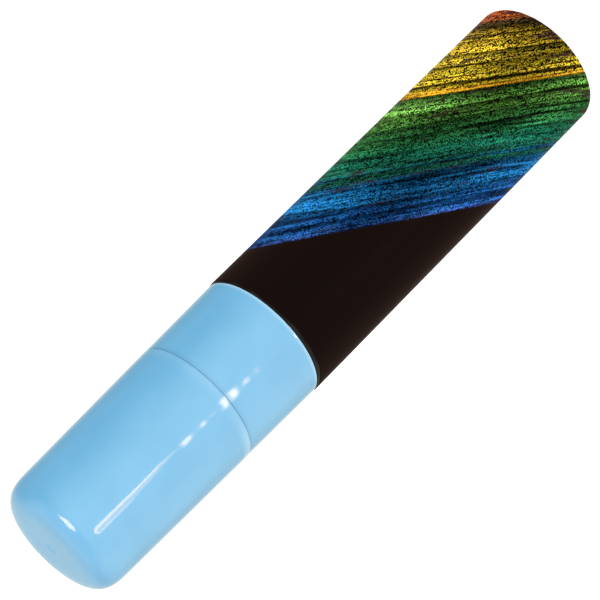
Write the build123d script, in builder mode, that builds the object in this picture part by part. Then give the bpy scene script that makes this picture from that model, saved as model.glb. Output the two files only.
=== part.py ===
from build123d import *
from math import cos, hypot, pi, sin, tan
import os

# A pump-action liquid chalk marker stood on its tail: +Z runs from base to cap, the origin is the
# centre of the base, and sizes are in millimetres.

# Barrel
barrel_diameter = 29.7
barrel_length = 91.1
barrel_wall = 1.35
base_corner = 1.6
base_thickness = 1.6
base_recess = 0.6
foot_width = 3.8
floor_corner = 2.4
gate_radius = 0.9
gate_depth = 0.25

# Printed film shrunk onto the barrel
film_thickness = 0.14
film_clearance = 0.01
film_margin = 0.5
film_wrap = 55  # degrees of the base corner that the film covers

# Front section: plug in the barrel, collar, cap spigot and nib tower
collar_length = 19.9
collar_draft = 0.35
collar_bevel = 0.3
ledge_bevel = 0.15
plug_length = 12.0
plug_wall = 1.6
plug_lead = 0.6
plug_fit = 0.05
snap_height = 0.2
snap_width = 1.6
snap_below_mouth = 3.0
seal_groove_depth = 0.9
seal_groove_width = 1.6
seal_groove_below_mouth = 7.0
spigot_length = 11.5
spigot_gap = 0.26
spigot_draft = 0.2
spigot_lead = 0.7
bead_above_seam = 4.0
bead_width = 1.8
bead_clearance = 0.06
shoulder_thickness = 2.0
tower_height = 11.0
tower_wall = 1.3
tower_flare = 0.8
tower_corner = 2.4
guide_drop = 6.0
vent_radius = 0.6

# Cap and its inner liner
cap_length = 41.9
cap_wall = 1.3
cap_draft = 0.8
cap_corner = 5.75
cap_rim_bevel = 0.2
cap_lead = 0.35
rim_step = 0.06
seam_gap = 0.12
rib_count = 6
rib_thickness = 0.9
rib_reach = 4.0
rib_above_shoulder = 4.0
rib_clearance = 0.05
liner_wall = 0.9
liner_draft = 1.2
liner_gap = 0.3
liner_seat_gap = 0.1
liner_bevel = 1.2
stop_height = 1.2

# Block nib
nib_width = 15.0
nib_thickness = 6.5
nib_length = 34.0
nib_corner = 0.8
nib_clearance = 0.15
nib_land = 1.6
nib_slant = 4.2
tip_room = 7.0

# Valve
stem_rise = 6.5
valve_fit = 0.05
valve_ledge = 0.95
gasket_thickness = 1.0
web_thickness = 2.0
seat_rim_height = 6.0
seat_rim_wall = 1.3
seat_boss_height = 2.2
seat_boss_wall = 1.4
orifice_radius = 3.4
lip_width = 1.0
lip_height = 0.5
seal_thickness = 1.5
seal_overlap = 0.6
seal_fit = 0.05
head_thickness = 1.5
head_margin = 0.3
core_radius = 1.9
fin_thickness = 1.2
fin_clearance = 0.1
tail_radius = 1.5
tail_clearance = 0.3
tail_above_floor = 1.4
spring_height = 10.0
spring_radius = 3.3
spring_wire = 0.7
spring_wire_sides = 6
spring_turns = 4
spring_seat_gap = 0.05
cage_wall = 1.2
cage_floor = 1.6
cage_fit = 0.05
cage_top_gap = 0.2
cage_window_width = 7.2
cage_window_sill = 1.2
cage_window_below_rim = 0.6
cage_port_radius = 1.3
spring_boss_height = 1.0
spring_boss_gap = 0.25

# Mixing balls
ball_diameter = 8.0
ball_spacing = 3.0
ball_floor_gap = 0.05

# Heights, from the base up
z_floor = base_recess + base_thickness
z_mouth = barrel_length
z_film = z_mouth - film_margin
z_plug = z_mouth - plug_length
z_snap = z_mouth - snap_below_mouth
z_seal_groove = z_mouth - seal_groove_below_mouth
z_seam = z_mouth + collar_length
z_bead = z_seam + bead_above_seam
z_spigot = z_seam + spigot_length
z_roof = z_spigot - shoulder_thickness
z_guide = z_roof - guide_drop
z_tower = z_spigot + tower_height
z_rim = z_seam + seam_gap
z_end = z_rim + cap_length
z_cap_roof = z_end - cap_wall
z_rib = z_spigot + rib_above_shoulder
z_liner_rim = z_spigot + liner_seat_gap
z_liner_top = z_cap_roof - stop_height
z_liner_roof = z_liner_top - liner_wall

# Heights, from the nib's tip down through the valve
z_tip = z_liner_roof - tip_room
z_nib = z_tip - nib_length
z_web = z_nib - stem_rise
z_step = z_web + gasket_thickness
z_lip = z_web - web_thickness - lip_height
z_seal = z_lip - seal_thickness
z_head = z_seal - head_thickness
z_cage = z_head - spring_height
z_seat_rim = z_web - seat_rim_height
z_cage_base = z_cage - cage_floor

# Radii of the shells
barrel_r = barrel_diameter / 2
bore_r = barrel_r - barrel_wall
recess_r = barrel_r - foot_width
film_r = barrel_r + film_clearance + film_thickness
collar_r = barrel_r
seam_r = collar_r - collar_draft
rim_r = seam_r + rim_step
plug_r = bore_r - plug_fit
plug_bore_r = plug_r - plug_wall
chamber_r = plug_bore_r - valve_ledge
groove_r = plug_r - seal_groove_depth


# Outer radius of the drafted cap at a height
def cap_radius(z):
    return rim_r - cap_draft * (z - z_rim) / cap_length


# Radius of the cap's bore at a height
def cap_bore(z):
    return cap_radius(z) - cap_wall


spigot_r = cap_bore(z_seam) - spigot_gap
spigot_top_r = cap_bore(z_spigot) - spigot_gap - spigot_draft
bead_r = cap_bore(z_bead) - bead_clearance

# Nib slot, tower and liner, each sized from the piece it goes round
slot_width = nib_width + 2 * nib_clearance
slot_thickness = nib_thickness + 2 * nib_clearance
slot_corner = nib_corner + nib_clearance
mouth_width = slot_width + 2 * tower_wall
mouth_thickness = slot_thickness + 2 * tower_wall
foot_corner = tower_corner + tower_flare
tower_reach = foot_corner + hypot(mouth_width / 2 - tower_corner, mouth_thickness / 2 - tower_corner)
liner_mouth_r = tower_reach + liner_gap
liner_top_r = liner_mouth_r - liner_draft

# Valve radii: the stem's from the orifice outwards, the cage's from the plug's bore inwards
valve_r = plug_bore_r - valve_fit
fin_r = orifice_radius - fin_clearance
boss_r = orifice_radius + seat_boss_wall
lip_r = orifice_radius + lip_width
seal_r = lip_r + seal_overlap
head_r = seal_r + head_margin
seat_bore_r = valve_r - seat_rim_wall
cage_r = seat_bore_r - cage_fit
cage_bore_r = cage_r - cage_wall
cage_port_r = (spring_radius + spring_wire / 2 + cage_bore_r) / 2
spring_boss_r = spring_radius - spring_wire / 2 - spring_boss_gap
tail_hole_r = tail_radius + tail_clearance

ball_r = ball_diameter / 2
ball_x = ball_r + ball_spacing / 2


# Vertex of the sketch in progress that lies nearest to a radius and a height
def corner(r, z):
    return vertices().sort_by_distance((r, z))[0]


os.makedirs("parts", exist_ok=True)

# Barrel: a closed-tail tube with a foot ring and a snap groove inside its mouth
with BuildPart() as barrel:
    with BuildSketch(Plane.XZ):
        with BuildLine():
            Polyline(
                (0, base_recess),
                (recess_r, base_recess),
                (recess_r, 0),
                (barrel_r, 0),
                (barrel_r, z_mouth),
                (bore_r, z_mouth),
                (bore_r, z_floor),
                (0, z_floor),
                close=True,
            )
        make_face()
        fillet(corner(barrel_r, 0), base_corner)
        fillet(corner(bore_r, z_floor), floor_corner)
        chamfer(corner(recess_r, 0), base_recess / 2)
    revolve(axis=Axis.Z)
    with BuildSketch(Plane.XZ):
        with BuildLine():
            Polyline(
                (bore_r, z_snap - snap_width / 2),
                (bore_r + snap_height, z_snap),
                (bore_r, z_snap + snap_width / 2),
                close=True,
            )
        make_face()
    revolve(axis=Axis.Z, mode=Mode.SUBTRACT)
    with BuildSketch(Plane.XY.offset(base_recess)):
        Circle(gate_radius)
    extrude(amount=-gate_depth)
barrel.part.label = "barrel"
export_step(barrel.part, "parts/barrel.step")

# Printed film: a thin sleeve that turns in round the base corner
with BuildPart() as printed_sleeve:
    arc_centre = (barrel_r - base_corner, base_corner)
    inner_arc = base_corner + film_clearance
    outer_arc = inner_arc + film_thickness
    with BuildSketch(Plane.XZ):
        with BuildLine():
            outer_wall = Line((film_r, z_film), (film_r, base_corner))
            outer_turn = CenterArc(arc_centre, outer_arc, 0, -film_wrap)
            inner_turn = CenterArc(arc_centre, inner_arc, 0, -film_wrap)
            inner_wall = Line((film_r - film_thickness, base_corner), (film_r - film_thickness, z_film))
            Line(outer_turn @ 1, inner_turn @ 1)
            Line(inner_wall @ 1, outer_wall @ 0)
        make_face()
    revolve(axis=Axis.Z)
printed_sleeve.part.label = "printed_sleeve"
export_step(printed_sleeve.part, "parts/printed_sleeve.step")

# Front section: one moulding that plugs the barrel, carries the cap and guides the nib
with BuildPart() as front_section:
    with BuildSketch(Plane.XZ):
        with BuildLine():
            Polyline(
                (plug_bore_r, z_plug),
                (plug_r, z_plug),
                (plug_r, z_mouth),
                (collar_r, z_mouth),
                (seam_r, z_seam),
                (spigot_r, z_seam),
                (spigot_top_r, z_spigot),
                (0, z_spigot),
                (0, z_roof),
                (chamber_r, z_roof),
                (chamber_r, z_step),
                (plug_bore_r, z_step),
                close=True,
            )
        make_face()
        chamfer(corner(plug_r, z_plug), plug_lead)
        chamfer(corner(collar_r, z_mouth), collar_bevel)
        chamfer(corner(seam_r, z_seam), ledge_bevel)
        chamfer(corner(spigot_top_r, z_spigot), spigot_lead)
    revolve(axis=Axis.Z)
    # snap ring that springs into the barrel's groove, and the friction bead under the cap
    with BuildSketch(Plane.XZ):
        with BuildLine():
            Polyline(
                (plug_r, z_snap - snap_width / 2),
                (plug_r + snap_height, z_snap),
                (plug_r, z_snap + snap_width / 2),
                (plug_bore_r, z_snap),
                close=True,
            )
        make_face()
        with BuildLine():
            Polyline(
                (spigot_top_r, z_bead - bead_width),
                (bead_r, z_bead),
                (spigot_top_r, z_bead + bead_width),
                close=True,
            )
        make_face()
    revolve(axis=Axis.Z)
    # groove for the barrel seal
    with BuildSketch(Plane.XY.offset(z_seal_groove)):
        Circle(plug_r)
        Circle(groove_r, mode=Mode.SUBTRACT)
    extrude(amount=seal_groove_width, mode=Mode.SUBTRACT)
    # nib tower above the shoulder and guide tube below it
    with BuildSketch(Plane.XY.offset(z_spigot)):
        RectangleRounded(mouth_width + 2 * tower_flare, mouth_thickness + 2 * tower_flare, foot_corner)
    with BuildSketch(Plane.XY.offset(z_tower)):
        RectangleRounded(mouth_width, mouth_thickness, tower_corner)
    loft()
    with BuildSketch(Plane.XY.offset(z_guide)):
        RectangleRounded(mouth_width, mouth_thickness, tower_corner)
    extrude(amount=guide_drop)
    # slot for the nib, with an air vent along each broad side
    with BuildSketch(Plane.XY.offset(z_guide)):
        RectangleRounded(slot_width, slot_thickness, slot_corner)
        with GridLocations(0, slot_thickness, 1, 2):
            Circle(vent_radius)
    extrude(amount=z_tower - z_guide, mode=Mode.SUBTRACT)
front_section.part.label = "front_section"
export_step(front_section.part, "parts/front_section.step")

# Barrel seal: a square ring filling the plug's groove
with BuildPart() as barrel_seal:
    with BuildSketch(Plane.XY.offset(z_seal_groove + seal_fit)):
        Circle(bore_r - seal_fit / 2)
        Circle(groove_r + seal_fit / 2, mode=Mode.SUBTRACT)
    extrude(amount=seal_groove_width - 2 * seal_fit)
barrel_seal.part.label = "barrel_seal"
export_step(barrel_seal.part, "parts/barrel_seal.step")

# Cap cavity: the space inside the cap, less the ribs that hold the liner
with BuildPart() as cap_cavity:
    with BuildSketch(Plane.XZ):
        with BuildLine():
            Polyline(
                (0, z_rim),
                (cap_bore(z_rim), z_rim),
                (cap_bore(z_cap_roof), z_cap_roof),
                (0, z_cap_roof),
                close=True,
            )
        make_face()
        fillet(corner(cap_bore(z_cap_roof), z_cap_roof), cap_corner - cap_wall)
    revolve(axis=Axis.Z)
    with BuildSketch(Plane.XY.offset(z_rib)):
        with PolarLocations(barrel_r - rib_reach, rib_count):
            Rectangle(2 * rib_reach, rib_thickness)
    extrude(amount=z_cap_roof - z_rib, mode=Mode.SUBTRACT)
    with BuildSketch(Plane.XZ):
        with BuildLine():
            Polyline(
                (0, z_liner_rim),
                (liner_mouth_r + liner_wall + rib_clearance, z_liner_rim),
                (liner_top_r + liner_wall + rib_clearance, z_liner_top),
                (0, z_liner_top),
                close=True,
            )
        make_face()
    revolve(axis=Axis.Z)

# Cap: drafted shell with a rounded end and a gate mark
with BuildPart() as cap:
    with BuildSketch(Plane.XZ):
        with BuildLine():
            Polyline((0, z_rim), (rim_r, z_rim), (cap_radius(z_end), z_end), (0, z_end), close=True)
        make_face()
        fillet(corner(cap_radius(z_end), z_end), cap_corner)
        chamfer(corner(rim_r, z_rim), cap_rim_bevel)
    revolve(axis=Axis.Z)
    add(cap_cavity.part, mode=Mode.SUBTRACT)
    chamfer(edges().filter_by(GeomType.CIRCLE).group_by(Axis.Z)[0].sort_by(SortBy.RADIUS)[0], cap_lead)
    with BuildSketch(Plane.XY.offset(z_end)):
        Circle(gate_radius)
    extrude(amount=-gate_depth, mode=Mode.SUBTRACT)
cap.part.label = "cap"
export_step(cap.part, "parts/cap.step")

# Cap liner: a drafted cup that closes over the nib and seats on the shoulder
with BuildPart() as cap_liner:
    with BuildSketch(Plane.XZ):
        with BuildLine():
            Polyline(
                (liner_mouth_r, z_liner_rim),
                (liner_mouth_r + liner_wall, z_liner_rim),
                (liner_top_r + liner_wall, z_liner_top),
                (0, z_liner_top),
                (0, z_liner_roof),
                (liner_top_r, z_liner_roof),
                close=True,
            )
        make_face()
        chamfer(corner(liner_top_r + liner_wall, z_liner_top), liner_bevel)
        chamfer(corner(liner_top_r, z_liner_roof), liner_bevel - liner_wall / 2)
    revolve(axis=Axis.Z)
cap_liner.part.label = "cap_liner"
export_step(cap_liner.part, "parts/cap_liner.step")

# Nib: a felt block whose end slopes away from a narrow land
with BuildPart() as nib:
    with BuildSketch(Plane.XY.offset(z_nib)):
        RectangleRounded(nib_width, nib_thickness, nib_corner)
    extrude(amount=nib_length)
    with BuildSketch(Plane.YZ):
        with BuildLine():
            Polyline(
                (nib_land - nib_thickness / 2, z_tip),
                (nib_thickness / 2, z_tip - nib_slant),
                (nib_thickness / 2, z_tip),
                close=True,
            )
        make_face()
    extrude(amount=nib_width / 2, both=True, mode=Mode.SUBTRACT)
nib.part.label = "nib"
export_step(nib.part, "parts/nib.step")

# Valve seat: a cup in the front section with the orifice and its lip
with BuildPart() as valve_seat:
    with BuildSketch(Plane.XY.offset(z_web)):
        Circle(valve_r)
    extrude(amount=-web_thickness)
    with BuildSketch(Plane.XY.offset(z_seat_rim)):
        Circle(valve_r)
        Circle(seat_bore_r, mode=Mode.SUBTRACT)
    extrude(amount=seat_rim_height)
    with BuildSketch(Plane.XY.offset(z_lip)):
        Circle(lip_r)
    extrude(amount=lip_height)
    with BuildSketch(Plane.XY.offset(z_web)):
        Circle(boss_r)
    extrude(amount=seat_boss_height)
    with Locations((0, 0, z_web + seat_boss_height)):
        Hole(orifice_radius)
valve_seat.part.label = "valve_seat"
export_step(valve_seat.part, "parts/valve_seat.step")

# Valve gasket: a flat ring between the seat and the step in the front section
with BuildPart() as valve_gasket:
    with BuildSketch(Plane.XY.offset(z_web)):
        Circle(valve_r)
        Circle(chamber_r, mode=Mode.SUBTRACT)
    extrude(amount=gasket_thickness)
valve_gasket.part.label = "valve_gasket"
export_step(valve_gasket.part, "parts/valve_gasket.step")

# Valve stem: a finned rod with a head below the seat and a guide tail
with BuildPart() as valve_stem:
    with BuildSketch(Plane.XY.offset(z_lip)):
        with PolarLocations(0, 2, angular_range=180):
            Rectangle(2 * fin_r, fin_thickness)
        Circle(fin_r, mode=Mode.INTERSECT)
        Circle(core_radius)
    extrude(amount=z_nib - z_lip)
    with BuildSketch(Plane.XY.offset(z_seal)):
        Circle(core_radius)
    extrude(amount=seal_thickness)
    with BuildSketch(Plane.XY.offset(z_head)):
        Circle(head_r)
    extrude(amount=head_thickness)
    with BuildSketch(Plane.XY.offset(z_cage + tail_above_floor)):
        Circle(tail_radius)
    extrude(amount=spring_height - tail_above_floor)
valve_stem.part.label = "valve_stem"
export_step(valve_stem.part, "parts/valve_stem.step")

# Stem seal: a rubber washer on the head that closes against the lip
with BuildPart() as stem_seal:
    with BuildSketch(Plane.XY.offset(z_seal)):
        Circle(seal_r)
        Circle(core_radius + seal_fit, mode=Mode.SUBTRACT)
    extrude(amount=seal_thickness)
stem_seal.part.label = "stem_seal"
export_step(stem_seal.part, "parts/stem_seal.step")

# Valve spring: quarter-turn arcs that meet smoothly, with both ends ground flat
with BuildPart() as valve_spring:
    spring_base = z_cage + spring_seat_gap
    spring_length = spring_height - 2 * spring_seat_gap
    quarter = pi / 2
    quarter_rise = spring_length / (4 * spring_turns)
    tangent_rise = quarter_rise / (2 * spring_radius * tan(quarter / 2))
    with BuildLine() as spring_path:
        for step in range(4 * spring_turns):
            start_angle = step * quarter
            end_angle = start_angle + quarter
            TangentArc(
                (
                    spring_radius * cos(start_angle),
                    spring_radius * sin(start_angle),
                    spring_base + step * quarter_rise,
                ),
                (
                    spring_radius * cos(end_angle),
                    spring_radius * sin(end_angle),
                    spring_base + (step + 1) * quarter_rise,
                ),
                tangent=(-sin(start_angle), cos(start_angle), tangent_rise),
            )
    with BuildSketch(Plane(origin=spring_path.line @ 0, z_dir=spring_path.line % 0)):
        RegularPolygon(spring_wire / 2, spring_wire_sides)
    sweep(path=spring_path.line)
    split(bisect_by=Plane.XY.offset(spring_base), keep=Keep.TOP)
    split(bisect_by=Plane.XY.offset(spring_base + spring_length), keep=Keep.BOTTOM)
spring_points = [spring_path.line @ (i / 200) for i in range(201)]
turn_points = 200 // spring_turns
turn_gaps = [(spring_points[i + turn_points] - spring_points[i]).length for i in range(201 - turn_points)]
print("least gap between spring turns", round(min(turn_gaps) - spring_wire, 3))
valve_spring.part.label = "valve_spring"
export_step(valve_spring.part, "parts/valve_spring.step")

# Valve cage: a basket pressed into the seat's rim, with windows and floor ports for the ink
with BuildPart() as valve_cage:
    with BuildSketch(Plane.XY.offset(z_cage_base)):
        Circle(cage_r)
    extrude(amount=z_web - web_thickness - cage_top_gap - z_cage_base)
    with BuildSketch(Plane.XY.offset(z_cage)):
        Circle(cage_bore_r)
    extrude(amount=z_web - z_cage, mode=Mode.SUBTRACT)
    with BuildSketch(Plane.XY.offset(z_cage)):
        Circle(spring_boss_r)
    extrude(amount=spring_boss_height)
    with BuildSketch(Plane.XY.offset(z_cage + cage_window_sill)):
        with PolarLocations(0, 2, angular_range=180):
            Rectangle(2 * cage_r, cage_window_width)
        Circle(cage_bore_r, mode=Mode.SUBTRACT)
    extrude(amount=z_seat_rim - cage_window_below_rim - z_cage - cage_window_sill, mode=Mode.SUBTRACT)
    with Locations((0, 0, z_cage + spring_boss_height)):
        Hole(tail_hole_r)
    with Locations((0, 0, z_cage)):
        with PolarLocations(cage_port_r, 4, start_angle=45):
            Hole(cage_port_radius)
valve_cage.part.label = "valve_cage"
export_step(valve_cage.part, "parts/valve_cage.step")

# Mixing balls, loose in the reservoir
for name, side in (("mixing_ball_a", -1), ("mixing_ball_b", 1)):
    with BuildPart(Plane((side * ball_x, 0, z_floor + ball_floor_gap + ball_r))) as ball:
        Sphere(ball_r)
    ball.part.label = name
    export_step(ball.part, "parts/" + name + ".step")
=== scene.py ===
import math

import bpy
import numpy as np
from mathutils import Matrix, Vector


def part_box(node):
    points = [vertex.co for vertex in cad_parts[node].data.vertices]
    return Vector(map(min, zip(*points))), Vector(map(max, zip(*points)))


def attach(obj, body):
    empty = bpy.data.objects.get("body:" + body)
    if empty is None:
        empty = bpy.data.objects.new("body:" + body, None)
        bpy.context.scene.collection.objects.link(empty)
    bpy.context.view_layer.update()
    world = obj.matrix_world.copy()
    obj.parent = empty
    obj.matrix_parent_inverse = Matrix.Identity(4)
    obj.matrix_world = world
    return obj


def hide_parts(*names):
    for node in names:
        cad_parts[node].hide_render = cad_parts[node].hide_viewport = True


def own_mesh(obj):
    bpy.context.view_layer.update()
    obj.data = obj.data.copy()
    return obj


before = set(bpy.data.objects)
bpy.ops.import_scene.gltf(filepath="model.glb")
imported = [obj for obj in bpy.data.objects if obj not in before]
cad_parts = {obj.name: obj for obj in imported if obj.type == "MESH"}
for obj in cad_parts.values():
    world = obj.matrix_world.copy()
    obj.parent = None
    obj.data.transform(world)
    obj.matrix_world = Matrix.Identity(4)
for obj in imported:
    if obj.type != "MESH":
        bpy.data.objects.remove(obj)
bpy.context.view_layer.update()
print("frame loaded:", len(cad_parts), "CAD nodes")

mm = 0.001  # lengths below are in millimetres, with z up from the tail
tiny = 1e-9  # keeps divisions away from zero
strokeUnit = 100.0  # millimetres in one unit of the film's UV
noiseSpan = (0.3, 0.7)  # most of a noise's values lie between these
scene = bpy.context.scene


# lowest height, highest height and half width of a CAD node
def reach(node):
    low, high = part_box(node)
    return low.z / mm, high.z / mm, high.x / mm


# corner of a path where the loop is a circle: both half widths and the corner radius are the same
def ring(radius, z):
    return (radius, radius, radius, z)


# even positions round a loop, in quarter turns, half a step off the axes
def evenTurns(columns):
    return 4 * (np.arange(columns) + 0.5) / columns


# Path through corners (half width, half depth, corner radius, z). Each corner is rounded by the rational
# quadratic curve that starts and ends radius * tan(turn / 2) from it, with cos(turn / 2) as middle weight,
# which is a circle's arc. Points on the runs between rounds crowd towards the ends as 1 - cos does.
def roundedPath(corners, closed=False, arcSteps=6, runSteps=8):
    points = np.array([corner for corner, radius in corners], float)
    radii = np.array([radius for corner, radius in corners], float)
    before = points - np.roll(points, 1, axis=0)
    after = np.roll(points, -1, axis=0) - points
    if not closed:
        before[0], after[-1] = after[0], before[-1]
    lengthBefore = np.hypot(before[:, 0], before[:, 3])
    lengthAfter = np.hypot(after[:, 0], after[:, 3])
    cosTurn = (before[:, 0] * after[:, 0] + before[:, 3] * after[:, 3]) / (lengthBefore * lengthAfter)
    halfTurn = np.arccos(np.clip(cosTurn, -1, 1)) / 2
    cut = radii * np.tan(halfTurn)
    start = points - before * (cut / lengthBefore)[:, None]
    end = points + after * (cut / lengthAfter)[:, None]
    t = np.linspace(0, 1, arcSteps + 1)[None, :, None]
    a, b, c = (1 - t) ** 2, 2 * np.cos(halfTurn)[:, None, None] * t * (1 - t), t ** 2
    arcs = (a * start[:, None] + b * points[:, None] + c * end[:, None]) / (a + b + c)
    crowd = (1 - np.cos(np.linspace(0, math.pi, runSteps + 1)[1:-1])) / 2
    runs = end[:, None] + (np.roll(start, -1, axis=0) - end)[:, None] * crowd[None, :, None]
    path = np.concatenate([arcs, runs], axis=1).reshape(-1, 4)
    if not closed:
        path = path[:1 - runSteps]
    moved = np.abs(np.diff(path, axis=0)).sum(axis=1) > tiny
    return path[np.r_[True, moved]]


# Rows of points on rounded rectangles, one row for each path point: a quarter of the loop is half a side, a
# corner arc and half the next side, walked in equal shares of its length, and the other quarters mirror it.
def loops(path, turns):
    halfX, halfY, corner, z = (path[:, i, None] for i in range(4))
    quarter = np.floor(turns)
    share = np.where(quarter % 2 == 0, turns - quarter, 1 - turns + quarter)[None]
    side, arc = halfY - corner, corner * math.pi / 2
    walked = share * (side + arc + halfX - corner)
    angle = np.clip((walked - side) / np.maximum(corner, tiny), 0, math.pi / 2)
    x = halfX - corner + corner * np.cos(angle) - np.maximum(walked - side - arc, 0)
    y = np.minimum(walked, side) + corner * np.sin(angle)
    signX = np.where((quarter == 0) | (quarter == 3), 1, -1)
    signY = np.where(quarter < 2, 1, -1)
    return np.stack([x * signX, y * signY, z + 0 * x], axis=-1)


# Mesh over rows of points: quads join neighbouring rows and columns. A "ring" joins its last row to its
# first, a "poles" skin shrinks its end rows to points with fans, and a "strips" skin closes them by quads
# across.
def skin(name, rows, ends):
    rows = np.asarray(rows, float) * mm
    poles = rows[[0, -1]].mean(axis=1)
    body = rows[1:-1] if ends == "poles" else rows
    count, columns = body.shape[:2]
    index = np.arange(count * columns).reshape(count, columns)
    across = np.roll(index, -1, axis=1)
    if ends == "ring":
        up, upAcross = np.roll(index, -1, axis=0), np.roll(across, -1, axis=0)
    else:
        up, upAcross = index[1:], across[1:]
        index, across = index[:-1], across[:-1]
    faces = np.stack([index, across, upAcross, up], axis=-1).reshape(-1, 4).tolist()
    points = body.reshape(-1, 3)
    first, last = np.arange(columns), np.arange(columns) + (count - 1) * columns
    if ends == "poles":
        low, high = np.full(columns, len(points)), np.full(columns, len(points) + 1)
        faces += np.stack([low, np.roll(first, -1), first], axis=-1).tolist()
        faces += np.stack([last, np.roll(last, -1), high], axis=-1).tolist()
        points = np.concatenate([points, poles])
    if ends == "strips":
        half = columns // 2
        for line, order in ((first, 1), (last, -1)):
            near, far = line[:half], line[::-1][:half]
            strip = np.stack([near[:-1], far[:-1], far[1:], near[1:]], axis=-1)
            faces += strip[:, ::order].tolist()
    mesh = bpy.data.meshes.new(name)
    mesh.from_pydata(points.tolist(), [], faces)
    mesh.calc_loop_triangles()
    corners = np.zeros(len(mesh.loop_triangles) * 3, np.int64)
    mesh.loop_triangles.foreach_get("vertices", corners)
    a, b, c = (points[corners.reshape(-1, 3)[:, i]] for i in range(3))
    if np.einsum("ij,ij->i", a, np.cross(b, c)).sum() < 0:  # six times the volume; negative is inside out
        mesh.flip_normals()
    mesh.shade_smooth()
    made = bpy.data.objects.new(name, mesh)
    scene.collection.objects.link(made)
    return made


# one shader node with its settings and inputs; an input is a value or another node's output
def node(tree, kind, inputs=None, **settings):
    made = tree.nodes.new("ShaderNode" + kind)
    for key, value in settings.items():
        setattr(made, key, value)
    for key, value in (inputs or {}).items():
        if isinstance(value, bpy.types.NodeSocket):
            tree.links.new(value, made.inputs[key])
        else:
            made.inputs[key].default_value = value
    return made


def math2(tree, operation, first, second=0.0, third=0.0):
    return node(tree, "Math", {0: first, 1: second, 2: third}, operation=operation).outputs[0]


def times(tree, first, second):
    return math2(tree, "MULTIPLY", first, second)


# first * second + third
def timesPlus(tree, first, second, third):
    return math2(tree, "MULTIPLY_ADD", first, second, third)


# noise from 0 to 1 on stretched coordinates
def noise(tree, coords, scale, detail=2.0, stretch=(1, 1, 1), roughness=0.5):
    mapped = node(tree, "Mapping", {"Vector": coords, "Scale": stretch}).outputs[0]
    inputs = {"Vector": mapped, "Scale": scale, "Detail": detail, "Roughness": roughness}
    return node(tree, "TexNoise", inputs).outputs[0]


# values round one half become values round nought
def centred(tree, value):
    return math2(tree, "SUBTRACT", value, 0.5)


def smooth(tree, value, low, high, outLow=0.0, outHigh=1.0):
    inputs = {0: value, 1: low, 2: high, 3: outLow, 4: outHigh}
    return node(tree, "MapRange", inputs, interpolation_type="SMOOTHSTEP").outputs[0]


# mix of two colours; each is red, green and blue, or another node's output
def mixColours(tree, factor, *colours):
    first, second = (c if isinstance(c, bpy.types.NodeSocket) else c + (1,) for c in colours)
    return node(tree, "Mix", {0: factor, 6: first, 7: second}, data_type="RGBA").outputs[2]


def scaleColour(tree, colour, factor):
    return node(tree, "VectorMath", {0: colour, 3: factor}, operation="SCALE").outputs[0]


def attribute(tree, name):
    return node(tree, "Attribute", attribute_name=name).outputs["Fac"]


# parts x, y and z of coordinates
def parts(tree, coords):
    return node(tree, "SeparateXYZ", {0: coords}).outputs


# degrees round the marker, 0 at the front (-Y) and -90 at the left
def frontAngle(tree, x, y):
    return math2(tree, "DEGREES", math2(tree, "ARCTAN2", x, times(tree, y, -1.0)))


# new material with its tree, its shader and the object's own coordinates
def material(name, sockets):
    made = bpy.data.materials.new(name)
    made.use_nodes = True
    tree = made.node_tree
    shader = tree.nodes["Principled BSDF"]
    for key, value in sockets.items():
        shader.inputs[key].default_value = value
    return made, tree, shader, node(tree, "TexCoord").outputs["Object"]


def plug(tree, shader, **outputs):
    for key, output in outputs.items():
        tree.links.new(output, shader.inputs[key.replace("_", " ")])


# bump whose distance is in millimetres
def bump(tree, height, strength, distance, **inputs):
    inputs.update(Height=height, Strength=strength, Distance=distance * mm)
    return node(tree, "Bump", inputs).outputs[0]


# Moulded plastic: colour clouds, specks, a fine skin, and shallow sinks that ripple the gloss; one
# attribute of a piece pales its edges, as scuffing at the barrel's foot and as a painted highlight on the
# cap's rim and the collar's lower edge, and another darkens the collar below the seam with painted shade
moulding = dict(ior=1.49, speckScale=5200, specks=(0.72, 0.8), roughScale=900, skinScale=2600, skinDepth=0.02,
                sinkDepth=0.1)


def mouldedPlastic(name, look):
    made, tree, shader, coords = material(name, {"IOR": moulding["ior"], "Specular IOR Level": look["gloss"]})
    clouds = noise(tree, coords, look["cloudScale"], 3)
    colour = mixColours(tree, smooth(tree, clouds, *noiseSpan), look["deep"], look["pale"])
    specks = smooth(tree, noise(tree, coords, moulding["speckScale"], 1), *moulding["specks"])
    colour = mixColours(tree, times(tree, specks, look["speckle"]), colour, look["speck"])
    # paled edges: scuffing on the barrel's foot, painted highlight on the cap and collar
    colour = mixColours(tree, times(tree, attribute(tree, "wearAndHighlight"), look["wearAndHighlightStrength"]), colour, look["wearAndHighlightColour"])
    # painted shade: darker where the piece is marked for it
    colour = scaleColour(tree, colour, math2(tree, "SUBTRACT", 1.0, attribute(tree, "paintedSeamShade")))
    rough = smooth(tree, noise(tree, coords, moulding["roughScale"]), *noiseSpan, *look["rough"])
    sinks = noise(tree, coords, look["sinkScale"], 1, look["sinkStretch"])
    fine = bump(tree, noise(tree, coords, moulding["skinScale"]), look["skin"], moulding["skinDepth"])
    both = bump(tree, sinks, look["sinks"], moulding["sinkDepth"], Normal=fine)
    plug(tree, shader, Base_Color=colour, Roughness=rough, Normal=both)
    return made


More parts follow.
